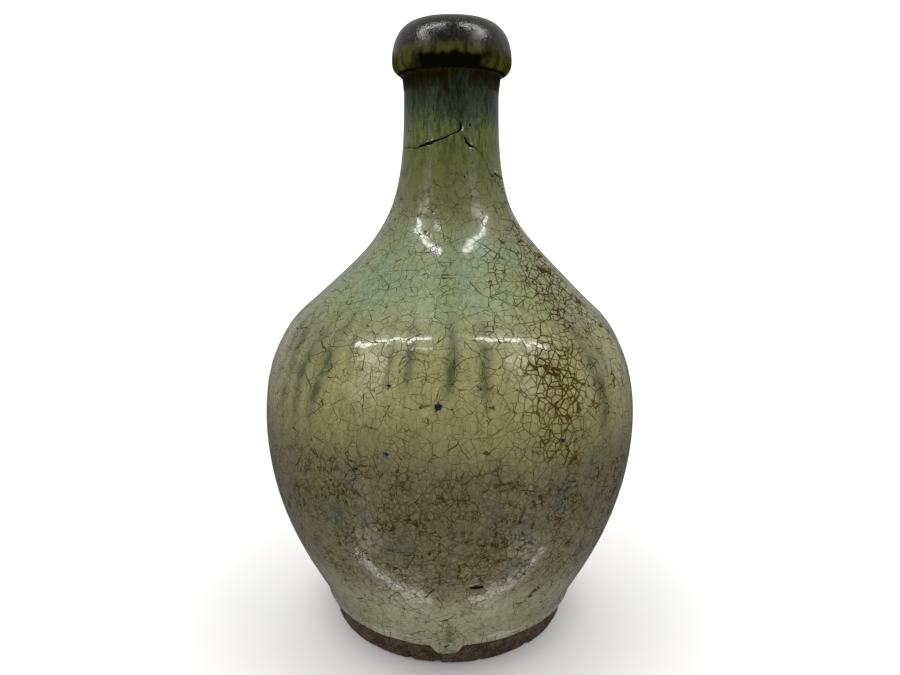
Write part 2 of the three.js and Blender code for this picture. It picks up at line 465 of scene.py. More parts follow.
def grid_mesh(name, rows, sharp_rows, **masks):
    """A closed shell from a grid of points: each row a ring, the last row joined to the first."""
    count_v, count_u, _ = rows.shape
    v, u = np.meshgrid(np.arange(count_v), np.arange(count_u), indexing="ij")
    nv, nu = (v + 1) % count_v, (u + 1) % count_u
    quads = np.stack(
        [v * count_u + u, v * count_u + nu, nv * count_u + nu, nv * count_u + u], axis=-1
    ).reshape(-1, 4)
    mesh = bpy.data.meshes.new(name)
    mesh.vertices.add(count_v * count_u)
    mesh.vertices.foreach_set("co", (rows * MM).astype(np.float32).ravel())
    mesh.loops.add(len(quads) * 4)
    mesh.loops.foreach_set("vertex_index", quads.astype(np.int32).ravel())
    mesh.polygons.add(len(quads))
    mesh.polygons.foreach_set("loop_start", np.arange(0, len(quads) * 4, 4, dtype=np.int32))
    mesh.update(calc_edges=True)
    mesh.polygons.foreach_set("use_smooth", np.ones(len(quads), bool))
    mark_sharp(mesh, count_u, sharp_rows)
    for key, values in masks.items():
        layer = mesh.attributes.new(key, "FLOAT", "POINT")
        layer.data.foreach_set("value", values.astype(np.float32).ravel())
    return link(name, mesh)


def finish_piece(piece, material, node):
    """Gives a piece its material, and sets it on the body in place of a CAD node."""
    piece.data.materials.append(material)
    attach(piece, "root")
    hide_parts(node)


def glaze_features(azimuth, z):
    """How far a body coat stands out from the outline, and the masks for its material."""
    place = wall_place(azimuth, z)
    depth = pits(azimuth, z, place)
    gap, chips = cracks(azimuth, z, place)
    slot, patch = scar(azimuth, z, place)
    masks = {
        "runs": green_runs(azimuth, z, place),
        "stain": stains(azimuth, z, place),
        "gap": gap,
        "chips": chips,
        "slot": slot,
        "patch": patch,
    }
    carve = 0.3 * depth + 0.95 * gap + 0.55 * slot + 0.12 * patch - 0.08 * chips
    return relief(azimuth, z, place) - carve, masks


def pad_masks(masks, rows):
    """Repeats each mask's nearest outer row over the hidden rows behind the surface."""
    return {key: np.vstack([m, np.repeat(m[-1:], rows, axis=0)]) for key, m in masks.items()}


def glaze_edge(azimuth):
    """Height of the ash glaze's lower edge with its small waves, and the shape of its one run."""
    ring = polar(azimuth, 50.0, np.zeros_like(azimuth))
    waves = 0.3 + 0.35 * noise(ring, 16, 83) + 0.2 * noise(ring, 6, 89)
    aside = np.abs(np.radians(turn(azimuth, DRIP["azimuth"]))) * HIP["r"] / DRIP["half_width"]
    drip = np.where(aside < 1, 1 - aside**3.2, 0) * (1 - 0.12 * noise(ring, 5, 97))
    return ASH_EDGE + waves - DRIP["length"] * drip, drip


def make_ash_coat():
    """The pale ash glaze, from its rolled edge above the foot to under the green coat."""
    turns = azimuths(480, 0.36)
    base = WALL.heights(ASH_EDGE, ASH_TOP, 0.76)
    azimuth, z = np.meshgrid(turns, base)
    edge, drip = glaze_edge(turns)
    pull = 1 - smooth(base, ASH_EDGE, ASH_EDGE + ASH_WAVES_REACH)
    z = z + pull[:, None] * (edge - ASH_EDGE)[None, :]
    offset, masks = glaze_features(azimuth, z)
    above_edge = z - edge[None, :]
    offset = offset + 0.55 * bump(above_edge, 0, 1.6)
    offset = offset + 0.35 * drip[None, :] * bump(above_edge, 2.5, 3.5)
    outer = wall_place(azimuth, z, offset)

    # The edge turns under in a small round, and the back of the coat follows the clay.
    back = []
    for height in WALL.heights(ASH_EDGE, ASH_TOP - 2, 22)[::-1]:
        share = 1 - smooth(height, ASH_EDGE, ASH_EDGE + ASH_WAVES_REACH)
        row_z = height + share * (edge - ASH_EDGE + 0.35)
        back.append(wall_place(turns, row_z, -GLAZE))
    under_back = wall_place(turns, edge - 0.15, 0.15 - GLAZE)
    under = wall_place(turns, edge - 0.28, offset[0] - 0.45)
    rows = np.concatenate([outer, np.stack(back), under_back[None], under[None]])
    masks = pad_masks(masks, len(rows) - len(outer))
    return grid_mesh("ash_glaze_coat", rows, (len(outer) - 1,), **masks)


def green_heights(top):
    """Rows of the green coat, closest together at the cracked part of the neck."""
    bands = (
        WALL.heights(GREEN_EDGE, 160, 0.95)[:-1],
        WALL.heights(160, 187, 0.6)[:-1],
        WALL.heights(187, 216, 0.34)[:-1],
        WALL.heights(216, top, 0.5),
    )
    return np.concatenate(bands)


def make_green_coat():
    """The green coat over neck and shoulder, thinned to almost nothing at its lower edge."""
    turns = azimuths(400, 0.36)
    top = LIP_BASE + 0.2
    base = green_heights(top)
    azimuth, z = np.meshgrid(turns, base)
    ring = polar(turns, 60.0, np.zeros_like(turns))
    wave = 2.5 * noise(ring, 30, 101) + 1.0 * noise(ring, 11, 103)
    pull = 1 - smooth(base, GREEN_EDGE, GREEN_EDGE + GREEN_WAVES_REACH)
    z = z + pull[:, None] * wave[None, :]
    offset, masks = glaze_features(azimuth, z)
    feather = smooth(z - (GREEN_EDGE + wave[None, :]), -3, 13)
    offset = offset + THIN + (COAT - THIN) * feather
    outer = wall_place(azimuth, z, offset)
    back = []
    for height in WALL.heights(GREEN_EDGE, top, 18)[::-1]:
        share = 1 - smooth(height, GREEN_EDGE, GREEN_EDGE + GREEN_WAVES_REACH)
        back.append(wall_place(turns, height + share * wave, offset[0] * share - GAP))
    rows = np.concatenate([outer, np.stack(back)])
    masks = pad_masks(masks, len(back))
    return grid_mesh("green_glaze_coat", rows, (0, len(outer) - 1), **masks)


def rings_of(points, turns, offset):
    """Rings through (radius, height) points, moved out square to their run by offset."""
    step = np.gradient(points, axis=0)
    step /= np.linalg.norm(step, axis=1)[:, None]
    azimuth = np.broadcast_to(turns, offset.shape)
    radius = points[:, 0, None] + offset * step[:, 1, None]
    z = points[:, 1, None] - offset * step[:, 0, None]
    return polar(azimuth, radius, z)


def even(points, step):
    """The same run of points, laid out evenly about step apart."""
    s = np.concatenate([[0], np.cumsum(np.hypot(*np.diff(points, axis=0).T))])
    at = np.linspace(0, s[-1], max(2, int(round(s[-1] / step)) + 1))
    return np.stack([np.interp(at, s, points[:, k]) for k in (0, 1)], axis=1)


def lip_run():
    """The lip from its root under the bead, over the crest and down into the throat."""
    root = WAIST["r"] + FLARE + 0.45
    bulge = (LIP_RADIUS, LIP_BASE + 4.4)
    crest = (CREST, HEIGHT)
    inside = (BORE, HEIGHT - 4)
    under = bezier(
        (root, LIP_BASE - 0.4),
        (root + 2.0, LIP_BASE + 0.2),
        (LIP_RADIUS, LIP_BASE + 1.4),
        bulge,
        60,
    )
    bead = bezier(bulge, (LIP_RADIUS, bulge[1] + 12.2), (CREST + 1.7, HEIGHT), crest, 120)
    turned_in = bezier(crest, (CREST - 1.6, HEIGHT), (BORE, HEIGHT - 1.6), inside, 60)
    return np.vstack([[(root - 1.5, LIP_BASE + 0.5)], under, bead[1:], turned_in[1:], [(BORE, THROAT)]])


def make_lip_glaze():
    """The rolled lip's glaze, a little uneven, with a plain back that faces the clay."""
    turns = azimuths(360, 0.3)
    points = even(lip_run(), 0.42)
    ring = rings_of(points, turns, np.zeros((len(points), len(turns))))
    wobble = 0.22 * noise(ring, 24, 107) + 0.06 * noise(ring, 7, 109) + 0.03 * noise(ring, 2.2, 113)
    wobble = wobble + 0.015 * noise(ring, 1.0, 127)
    outer = rings_of(points, turns, wobble)
    back_points = even(lip_run(), 5.0)[::-1]
    back = rings_of(back_points, turns, np.full((len(back_points), len(turns)), GLAZE))
    return grid_mesh("iron_glaze_lip", np.concatenate([outer, back]), (0, len(outer) - 1))


def foot_face():
    """The outside of the foot ring, from its worn lower edge to its top."""
    wear = 0.9
    worn = bezier(
        (FOOT_RADIUS - wear, 0.0),
        (FOOT_RADIUS - 0.2, 0.0),
        (FOOT_RADIUS, 0.3),
        (FOOT_RADIUS + 0.05, wear),
        12,
    )
    top = [(FOOT_TOP_RADIUS, FOOT_HEIGHT - 0.5), (FOOT_TOP_RADIUS - 0.4, FOOT_HEIGHT)]
    return even(np.vstack([worn, top]), 0.42)


def make_foot_ring():
    """The bare clay foot, with a worn lower edge and a few chips out of it."""
    turns = azimuths(520, 0.3)
    face = foot_face()
    inner = [
        (FOOT_INNER, FOOT_HEIGHT),
        (FOOT_INNER, 1.2),
        (FOOT_INNER + 1.2, 0.0),
        (FOOT_RADIUS - 4.0, 0.0),
    ]
    points = np.vstack([face, inner])
    shape = (len(points), len(turns))
    ring = rings_of(points, turns, np.zeros(shape))
    grain = 0.10 * noise(ring, 1.6, 131) + 0.08 * noise(ring, 0.8, 137) + 0.16 * noise(ring, 9, 139)
    chips = np.zeros(shape)
    near_edge = 1 - smooth(points[:, 1], 0.6, 2.6)
    for centre, half_turn, depth in CHIPS:
        across = bump(turn(turns, centre), 0, half_turn)
        chips = np.maximum(chips, across[None, :] * near_edge[:, None] * depth)
    offset = grain - chips * (1 + 0.5 * noise(ring, 1.2, 149))
    offset[len(face):] = 0
    rows = rings_of(points, turns, offset)
    rows[..., 2] = np.maximum(rows[..., 2], 0.0)
    return grid_mesh("foot_ring_clay", rows, (len(face) - 1, len(face)))


def inset(z, depth):
    """Points of the outline at the given heights, moved in square to it."""
    out_r, out_z = WALL.outward(z)
    return np.stack([WALL.radius(z) - depth * out_r, z - depth * out_z], axis=1)


def make_lower_clay():
    """The lower wall's clay, which shows as a thin band between foot and glaze; its dark colour is
    partly painted shade in that groove.
    """
    turns = azimuths(256, 0.0)
    floor = FOOT_HEIGHT + GAP
    band = [
        (FOOT_TOP_RADIUS - 1.6, floor),
        (FOOT_TOP_RADIUS - 0.9, floor + 0.15),
        (FOOT_TOP_RADIUS + 0.5, floor + 1.9),
    ]
    outer_z = np.concatenate([[HIP["z"] + 0.3], WALL.heights(HIP["z"] + 1.5, BELLY_HEIGHT, 6)])
    outer = inset(outer_z, CLAY_FACE)
    inner = inset(WALL.heights(30, BELLY_HEIGHT, 6)[::-1], CLAY_BACK)
    disc = radius_of("base_disc") + GAP
    foot_of_wall = inner[-1] - [1.5, 6.0]
    fillet = bezier(inner[-1], foot_of_wall, (disc + 6, floor + 7), (disc, floor + 7), 8)[1:]
    points = np.vstack([band, outer, inner, fillet, [(disc - 2, floor)]])
    rows = rings_of(points, turns, np.zeros((len(points), len(turns))))
    grain = 0.06 * noise(rows, 1.8, 151)
    rows[: len(band)] += grain[: len(band), :, None]
    top = len(band) + len(outer)
    return grid_mesh("lower_wall_clay", rows, (top - 1, top, len(points) - 1, 0, 1))


# -------------- node graphs


class Graph:
    """A short way to write a material's node tree. Sizes in it are in millimetres."""

    def __init__(self, tree):
        self.tree = tree
        self.seat = tree.nodes.new

    def put(self, value, socket):
        if isinstance(value, bpy.types.NodeSocket):
            self.tree.links.new(value, socket)
        elif value is not None:
            socket.default_value = value

    def math(self, operation, a, b=None, c=None, clamp=False):
        node = self.seat("ShaderNodeMath")
        node.operation = operation
        node.use_clamp = clamp
        for value, socket in zip((a, b, c), node.inputs):
            self.put(value, socket)
        return node.outputs[0]

    def product(self, total, *factors):
        for factor in factors:
            total = self.math("MULTIPLY", total, factor)
        return total

    def greatest(self, most, *others):
        for value in others:
            most = self.math("MAXIMUM", most, value)
        return most

    def scaled(self, value, factor, start):
        """The value times a factor, plus start."""
        return self.math("MULTIPLY_ADD", value, factor, start)

    def rest(self, share):
        """What a share leaves of one."""
        return self.math("SUBTRACT", 1.0, share)

    def vector(self, operation, a, b=None, c=None, scale=None):
        node = self.seat("ShaderNodeVectorMath")
        node.operation = operation
        for value, socket in zip((a, b, c, scale), node.inputs):
            self.put(value, socket)
        return node.outputs[1 if operation in ("DISTANCE", "LENGTH") else 0]

    def part(self, vector, index):
        """One number out of a vector or colour: 0 is X, 1 is Y and 2 is Z."""
        node = self.seat("ShaderNodeSeparateXYZ")
        self.put(vector, node.inputs[0])
        return node.outputs[index]

    def noise(self, place, size, detail=2.0, roughness=0.5, colour=False):
        node = self.seat("ShaderNodeTexNoise")
        self.put(place, node.inputs["Vector"])
        node.inputs["Scale"].default_value = 1.0 / size
        node.inputs["Detail"].default_value = detail
        node.inputs["Roughness"].default_value = roughness
        return node.outputs["Color" if colour else "Fac"]

    def voronoi(self, place, size, feature="F1"):
        node = self.seat("ShaderNodeTexVoronoi")
        node.feature = feature
        self.put(place, node.inputs["Vector"])
        node.inputs["Scale"].default_value = 1.0 / size
        return node.outputs

    def ramp(self, value, low, high, start=0.0, end=1.0):
        """A smooth step from start at low to end at high."""
        node = self.seat("ShaderNodeMapRange")
        node.interpolation_type = "SMOOTHSTEP"
        self.put(value, node.inputs["Value"])
        limits = (low, high, start, end)
        for key, limit in zip(("From Min", "From Max", "To Min", "To Max"), limits):
            self.put(limit, node.inputs[key])
        return node.outputs[0]

    def colours(self, value, stops):
        """The colour at a value, from (value, colour) stops between 0 and 1."""
        node = self.seat("ShaderNodeValToRGB")
        elements = node.color_ramp.elements
        while len(elements) < len(stops):
            elements.new(0.5)
        for element, (position, colour) in zip(elements, stops):
            element.position = position
            element.color = (*colour, 1.0)
        self.put(value, node.inputs[0])
        return node.outputs[0]

    def mix(self, share, a, b, blend="MIX"):
        node = self.seat("ShaderNodeMix")
        node.data_type = "RGBA"
        node.blend_type = blend
        self.put(share, node.inputs[0])
        self.put(a, node.inputs[6])
        self.put(b, node.inputs[7])
        return node.outputs[2]

    def shade(self, colour, factor):
        """The colour made darker or lighter by a factor."""
        return self.mix(1.0, colour, self.vector("SCALE", (1.0, 1.0, 1.0), scale=factor), "MULTIPLY")

    def mask(self, name):
        node = self.seat("ShaderNodeAttribute")
        node.attribute_name = name
        return node.outputs["Fac"]

    def place(self):
        """The point on the object, in millimetres."""
        node = self.seat("ShaderNodeTexCoord")
        return self.vector("SCALE", node.outputs["Object"], scale=1.0 / MM)

    def pushed(self, start, place, size, detail, reach):
        """The start moved every way by noise at a place, by at most half of reach."""
        push = self.vector("SUBTRACT", self.noise(place, size, detail, colour=True), (0.5, 0.5, 0.5))
        return self.vector("MULTIPLY_ADD", push, (reach, reach, reach), start)

    def streaked(self, place, squeeze):
        """Places squeezed along Z, so that a pattern made from them runs down the wall."""
        return self.vector("MULTIPLY", place, (1.0, 1.0, squeeze))

    def bump(self, height, distance):
        node = self.seat("ShaderNodeBump")
        node.inputs["Distance"].default_value = distance * MM
        self.put(height, node.inputs["Height"])
        return node.outputs[0]


def new_material(name):
    material = bpy.data.materials.new(name)
    material.use_nodes = True
    shader = material.node_tree.nodes["Principled BSDF"]
    return material, Graph(material.node_tree), shader.inputs


def put_normal(graph, shader, normal):
    graph.put(normal, shader["Normal"])
    graph.put(normal, shader["Coat Normal"])


# -------------- the two body glazes

# Colour of the clean glaze by height in mm, as linear red, green and blue; the two lowest stops are
# made lighter as painted bounce light from the floor.
GLAZE_COLOURS_WITH_PAINTED_BOUNCE = [
    (5, (0.35, 0.35, 0.23)),
    (28, (0.36, 0.36, 0.225)),
    (46, (0.190, 0.182, 0.096)),
    (72, (0.132, 0.124, 0.058)),
    (92, (0.145, 0.135, 0.054)),
    (106, (0.220, 0.206, 0.076)),
    (120, (0.272, 0.258, 0.104)),
    (134, (0.250, 0.262, 0.100)),
    (150, (0.192, 0.242, 0.094)),
    (165, (0.190, 0.212, 0.076)),
    (179, (0.116, 0.130, 0.043)),
    (193, (0.084, 0.097, 0.023)),
    (207, (0.068, 0.082, 0.022)),
    (215, (0.026, 0.036, 0.018)),
    (223, (0.012, 0.018, 0.009)),
    (227, (0.009, 0.007, 0.001)),
]
TURQUOISE = (0.160, 0.250, 0.140, 1)
RUN_GREEN = (0.045, 0.066, 0.017, 1)
SLATE = (0.085, 0.105, 0.092, 1)
AMBER = (0.165, 0.105, 0.026, 1)
RUST = (0.038, 0.021, 0.003, 1)
LINE_GREEN = (0.034, 0.024, 0.004, 1)
LOW_LINE = (0.028, 0.018, 0.004, 1)
STAIN_LINE = (0.034, 0.018, 0.002, 1)
PIT_DARK = (0.009, 0.009, 0.007, 1)
SCAR_TAN = (0.16, 0.13, 0.075, 1)
CHIP_PALE = (0.33, 0.30, 0.22, 1)
INK = (0.004, 0.004, 0.003, 1)

# The crackle from coarse to fine: size of a cell, strength of its lines and their half width.
CRACKLE = [
    (6.2, 1.0, 0.070),
    (3.2, 0.95, 0.056),
    (1.9, 0.9, 0.048),
]
FINEST = len(CRACKLE) - 1
CELL_JUMP = 61.0  # how far one cell's pattern lies from the next one's, so that no two match


class Skin:
    """What the glaze's colour, gloss and bump share, at each point of the surface."""

    def __init__(self, graph):
        self.place = graph.place()
        self.height = graph.part(self.place, 2)
        above_foot = graph.ramp(self.height, 30, 46, 0.25, 1.0)
        self.low = graph.product(graph.ramp(self.height, 100, 84), above_foot)
        self.stain = graph.mask("stain")
        self.spread = graph.product(self.stain, graph.scaled(self.low, -0.75, 1.0))
        self.streaks = graph.noise(graph.streaked(self.place, 0.14), 2.2, 3, 0.6)
        self.lines, self.near, self.flecks = crackle(graph, self)
        self.rust = rust(graph, self)
        self.pit_edge = spots(graph, self.place, PITS)
        self.hole = graph.ramp(self.pit_edge, 0.12, -0.15)
        self.slot = graph.ramp(graph.mask("slot"), 0.35, 0.6)
        self.chips = graph.ramp(graph.mask("chips"), 0.35, 0.65)
        self.gap = graph.ramp(graph.mask("gap"), 0.3, 0.6)


def crackle_line(graph, skin, edge, half_width):
    """How dark a line is at a distance from its middle. Stained lines are wider."""
    clean = graph.scaled(skin.low, -0.004, half_width)
    width = graph.scaled(skin.spread, 0.165, clean)
    return graph.rest(graph.ramp(edge, graph.product(width, 0.6), graph.math("ADD", width, 0.04)))


def crackle_weight(graph, skin, tier, uneven):
    """How much of one tier of lines shows: patchy where clean, all of it where stained."""
    clean = graph.ramp(uneven, 0.32 + 0.04 * tier, 0.58 + 0.02 * tier, 0.42 - 0.16 * tier, 1.0)
    weight = graph.greatest(clean, skin.spread, graph.product(skin.low, 0.6))
    if tier == FINEST:
        weight = graph.product(weight, graph.greatest(skin.low, graph.product(skin.stain, 0.5)))
    return weight


def crackle(graph, skin):
    """The crazing: long cracks, then finer ones inside their cells.

    Gives the darkness of its lines, the distance in mm to the nearest line of the coarser
    tiers, and the few smallest cells that are flecks.
    """
    warped = graph.pushed(skin.place, skin.place, 4.5, 2, 0.8)
    bent = graph.pushed(warped, skin.place, 1.3, 1, 0.16)
    uneven = graph.noise(skin.place, 5.0, 3)
    shifted = bent
    lines = []
    edges = []
    for tier, (size, strength, half_width) in enumerate(CRACKLE):
        edge = graph.product(graph.voronoi(shifted, size, "DISTANCE_TO_EDGE")["Distance"], size)
        cell = graph.voronoi(shifted, size)["Color"]
        weight = graph.product(crackle_weight(graph, skin, tier, uneven), strength)
        lines.append(graph.product(crackle_line(graph, skin, edge, half_width), weight))
        edges.append(edge)
        shifted = graph.vector("MULTIPLY_ADD", cell, (CELL_JUMP, CELL_JUMP, CELL_JUMP), bent)
    near = graph.math("MINIMUM", *edges[:FINEST])
    flecks = graph.ramp(graph.part(cell, 2), 0.75, 0.79)
    fade_height = graph.scaled(graph.noise(skin.place, 14, 1), 24, skin.height)
    below_neck = graph.ramp(fade_height, 196, 210, 1.0, 0.12)
    return graph.product(graph.greatest(*lines), below_neck), near, flecks


def rust(graph, skin):
    """Rust in the low crackle: whole small cells, and grime beside the lines."""
    beside = graph.rest(graph.ramp(skin.near, 0.15, 0.6))
    grime = graph.ramp(graph.noise(skin.place, 2.0, 4, 0.7), 0.52, 0.57)
    filled = graph.product(skin.flecks, graph.ramp(graph.noise(skin.place, 1.4, 2), 0.42, 0.5))
    patchy = graph.ramp(graph.noise(skin.place, 10, 3), 0.43, 0.6, 0.28, 1.0)
    zone = graph.product(skin.low, graph.ramp(skin.height, 36, 54, 0.25, 1.0), patchy)
    return graph.product(zone, graph.greatest(filled, graph.product(grime, beside, 0.7)))


def spots(graph, place, centres):
    """Distance in mm beyond the edge of the nearest spot, with a ragged outline."""
    moved = graph.pushed(place, place, 0.8, 2, 2.6)
    nearest = None
    for centre, height, radius in centres:
        coat = COAT if height > GREEN_SHOWS else 0.0
        point = wall_place(np.radians([centre]), np.array([height]), coat)[0]
        gap = graph.math("SUBTRACT", graph.vector("DISTANCE", moved, tuple(point)), 0.72 * radius)
        nearest = gap if nearest is None else graph.math("MINIMUM", nearest, gap)
    return nearest


def clean_colour(graph, skin):
    """The colours by height, lighter at the bottom as painted bounce light, with blue-green pools, grey
    clouds and the runs.
    """
    drift = graph.scaled(graph.noise(skin.place, 17, 3), 17.6, -8.8)
    sway = graph.product(graph.scaled(skin.streaks, 16, -8), graph.ramp(skin.height, 176, 205))
    level = graph.math("ADD", skin.height, graph.math("ADD", drift, sway))
    stops = [(z / HEIGHT, colour) for z, colour in GLAZE_COLOURS_WITH_PAINTED_BOUNCE]
    colour = graph.colours(graph.math("DIVIDE", level, HEIGHT), stops)

    shoulder = graph.product(graph.ramp(skin.height, 138, 152), graph.ramp(skin.height, 178, 166))
    pools = graph.ramp(graph.noise(skin.place, 21, 2), 0.42, 0.68, 0.0, 0.8)
    colour = graph.mix(graph.product(shoulder, pools), colour, TURQUOISE)
    clouds = graph.ramp(graph.noise(skin.place, 11, 3), 0.5, 0.7, 0.0, 0.65)
    clouds = graph.product(skin.low, clouds, graph.ramp(skin.height, 40, 58))
    colour = graph.mix(clouds, colour, SLATE)
    runs = graph.product(graph.mask("runs"), graph.ramp(skin.streaks, 0.3, 0.55, 0.4, 1.0), 0.97)
    return graph.mix(runs, colour, RUN_GREEN)


def add_grain(graph, skin, colour):
    """Light and dark streaks, strongest on the neck, and a fine grain all over."""
    fine = graph.ramp(graph.noise(graph.streaked(skin.place, 0.3), 1.3, 4, 0.75), 0.36, 0.64, -1.0, 1.0)
    fine = graph.product(fine, graph.ramp(skin.height, 186, 216, 0.12, 0.5))
    streaks = graph.math("ADD", fine, graph.ramp(skin.streaks, 0.3, 0.7, 0.88, 1.12))
    grain = graph.ramp(graph.noise(skin.place, 0.7, 3, 0.7), 0.35, 0.65, 0.86, 1.13)
    grain = graph.product(grain, graph.scaled(skin.spread, 0.16, 1.0))
    return graph.shade(colour, graph.product(streaks, grain))


def add_crackle(graph, skin, colour):
    """Amber beside stained lines, rust between low ones, and the lines themselves."""
    halo = graph.rest(graph.ramp(skin.near, 0.1, 0.5))
    patchy = graph.ramp(graph.noise(skin.place, 3.2, 3), 0.42, 0.6)
    amber = graph.greatest(graph.product(halo, 0.5), graph.product(patchy, 0.1))
    colour = graph.mix(graph.product(skin.stain, amber), colour, AMBER)
    colour = graph.mix(skin.rust, colour, RUST)
    ink = graph.mix(skin.low, LINE_GREEN, LOW_LINE)
    ink = graph.mix(graph.math("SUBTRACT", skin.stain, skin.low, clamp=True), ink, STAIN_LINE)
    return graph.mix(graph.product(skin.lines, 0.95), colour, ink)


def add_faults(graph, skin, colour):
    """Iron specks, pinholes with a grey rim, the kiln scar and the cracked neck."""
    specks = graph.voronoi(skin.place, 2.4)["Distance"]
    chosen = graph.ramp(graph.noise(skin.place, 2.1, 0), 0.62, 0.66)
    dots = graph.product(chosen, graph.ramp(specks, 0.12, 0.06, 0.0, 0.7))
    colour = graph.mix(dots, colour, RUST)
    colour = graph.mix(graph.ramp(skin.pit_edge, 1.0, 0.1, 0.0, 0.4), colour, SLATE)
    colour = graph.mix(skin.hole, colour, PIT_DARK)
    colour = graph.mix(graph.mask("patch"), colour, SCAR_TAN)
    colour = graph.mix(skin.slot, colour, INK)
    colour = graph.mix(skin.chips, colour, CHIP_PALE)
    return graph.mix(skin.gap, colour, INK)


def set_glaze_gloss(graph, skin, shader):
    """A clear coat that lines, rust and broken places dull, and that fades below the lip."""
    dull = graph.greatest(graph.ramp(skin.lines, 0.1, 0.8), graph.product(skin.rust, 0.7))
    below_neck = graph.ramp(skin.height, 180, 205, 0.7, 0.1)
    sheen = graph.product(below_neck, graph.ramp(skin.height, 220, 228, 1.0, 0.2))
    shader["Roughness"].default_value = 0.32
    graph.put(graph.product(sheen, graph.rest(dull)), shader["Specular IOR Level"])

    broken = graph.greatest(skin.gap, skin.slot, skin.chips, skin.hole)
    patchy = graph.ramp(graph.noise(graph.streaked(skin.place, 0.5), 6, 3), 0.4, 0.6, 0.45, 1.0)
    gloss = graph.product(
        graph.ramp(dull, 0.0, 1.0, 1.0, 0.15),
        graph.ramp(broken, 0.1, 0.6, 1.0, 0.0),
        graph.ramp(skin.height, 214, 228, 1.0, 0.1),
        graph.greatest(patchy, graph.ramp(skin.height, 184, 176)),
    )
    graph.put(gloss, shader["Coat Weight"])
    mist = graph.ramp(graph.noise(skin.place, 0.8, 2), 0.35, 0.75, 0.04, 0.12)
    on_neck = graph.ramp(skin.height, 178, 196, 0.0, 0.16)
    graph.put(graph.math("ADD", mist, on_neck), shader["Coat Roughness"])


def set_glaze_bump(graph, skin, shader):
    """Sunk lines and holes, and a surface that is rougher low down."""
    rough_low = graph.ramp(skin.height, 70, 40, 0.08, 0.55)
    level = graph.product(graph.noise(skin.place, 0.55, 2), rough_low)
    level = graph.scaled(skin.lines, -1.0, level)
    level = graph.scaled(skin.hole, -2.0, level)
    put_normal(graph, shader, graph.bump(level, 0.05))


def glaze_material(name):
    """The crackled glaze of the body and neck. Its colour goes by height, for both coats."""
    material, graph, shader = new_material(name)
    skin = Skin(graph)
    colour = clean_colour(graph, skin)
    for add in (add_grain, add_crackle, add_faults):
        colour = add(graph, skin, colour)
    graph.put(colour, shader["Base Color"])
    set_glaze_gloss(graph, skin, shader)
    set_glaze_bump(graph, skin, shader)
    return material


# -------------- lip and clay

IRON = (0.003, 0.003, 0.002, 1)
IRON_BROWN = (0.011, 0.010, 0.006, 1)
# Grey mottle on the lip's top: partly the iron glaze's own mottling, partly a painted sheen.
GREY_MOTTLE_AND_SHEEN = (0.085, 0.080, 0.065, 1)
# Painted shade under the lip's bead, near-black.
UNDER_BEAD_SHADE = (0.002, 0.002, 0.001, 1)
# Painted shadow in the crease where the lip meets the neck.
ROOT_CREASE_SHADE = (0.003, 0.003, 0.001, 1)
OLIVE = (0.042, 0.043, 0.009, 1)
OLIVE_DARK = (0.016, 0.017, 0.003, 1)


def lip_colour(graph, place, height):
    """Near-black with grey mottling that is partly a painted sheen, an olive band low outside, painted
    shade under the bead at front and back, and a painted shadow at the root.
    """
    sway = graph.scaled(graph.noise(graph.streaked(place, 0.4), 3.0, 3), 4.0, -2.0)
    level = graph.math("ADD", height, sway)
    blotch = graph.ramp(graph.noise(graph.streaked(place, 0.5), 3.0, 3), 0.42, 0.6)
    # The grey mottle on the lip's top is partly a painted sheen.
    mottle = graph.ramp(graph.noise(place, 1.1, 4, 0.7), 0.54, 0.68, 0.0, 0.4)
    mottle = graph.product(mottle, graph.ramp(level, LIP_BASE + 7, LIP_BASE + 12))
    dark = graph.mix(mottle, graph.mix(blotch, IRON, IRON_BROWN), GREY_MOTTLE_AND_SHEEN)

    radius = graph.vector("LENGTH", graph.vector("MULTIPLY", place, (1, 1, 0)))
    outside = graph.ramp(radius, 20.0, 22.0)
    band = graph.product(graph.ramp(level, LIP_BASE + 9.8, LIP_BASE + 6.8), outside)
    colour = graph.mix(band, dark, graph.mix(blotch, OLIVE, OLIVE_DARK))
    across = graph.math("ABSOLUTE", graph.part(place, 0))
    shade_free_sides = graph.ramp(graph.scaled(graph.noise(place, 7, 2), 14, across), 18, 24)
    # Painted shade under the bead, kept off the left and right sides.
    under = graph.product(graph.ramp(level, LIP_BASE + 5.5, LIP_BASE + 3.5), graph.rest(shade_free_sides))
    colour = graph.mix(under, colour, UNDER_BEAD_SHADE)
    # Painted shadow in the crease at the lip's root.
    return graph.mix(graph.ramp(height, LIP_BASE + 0.4, LIP_BASE - 0.3), colour, ROOT_CREASE_SHADE)


def iron_material():
    """The dark lip glaze, matt at its root and glossy above."""
    material, graph, shader = new_material("iron_glaze")
    place = graph.place()
    height = graph.part(place, 2)
    graph.put(lip_colour(graph, place, height), shader["Base Color"])
    shader["Roughness"].default_value = 0.38
    graph.put(graph.ramp(height, LIP_BASE + 3, LIP_BASE + 10, 0.0, 0.06), shader["Specular IOR Level"])
    graph.put(graph.ramp(height, LIP_BASE + 4, LIP_BASE + 10), shader["Coat Weight"])
    shader["Coat Roughness"].default_value = 0.09
    shader["Coat IOR"].default_value = 1.8
    put_normal(graph, shader, graph.bump(graph.noise(place, 0.9, 3, 0.6), 0.13))
    return material


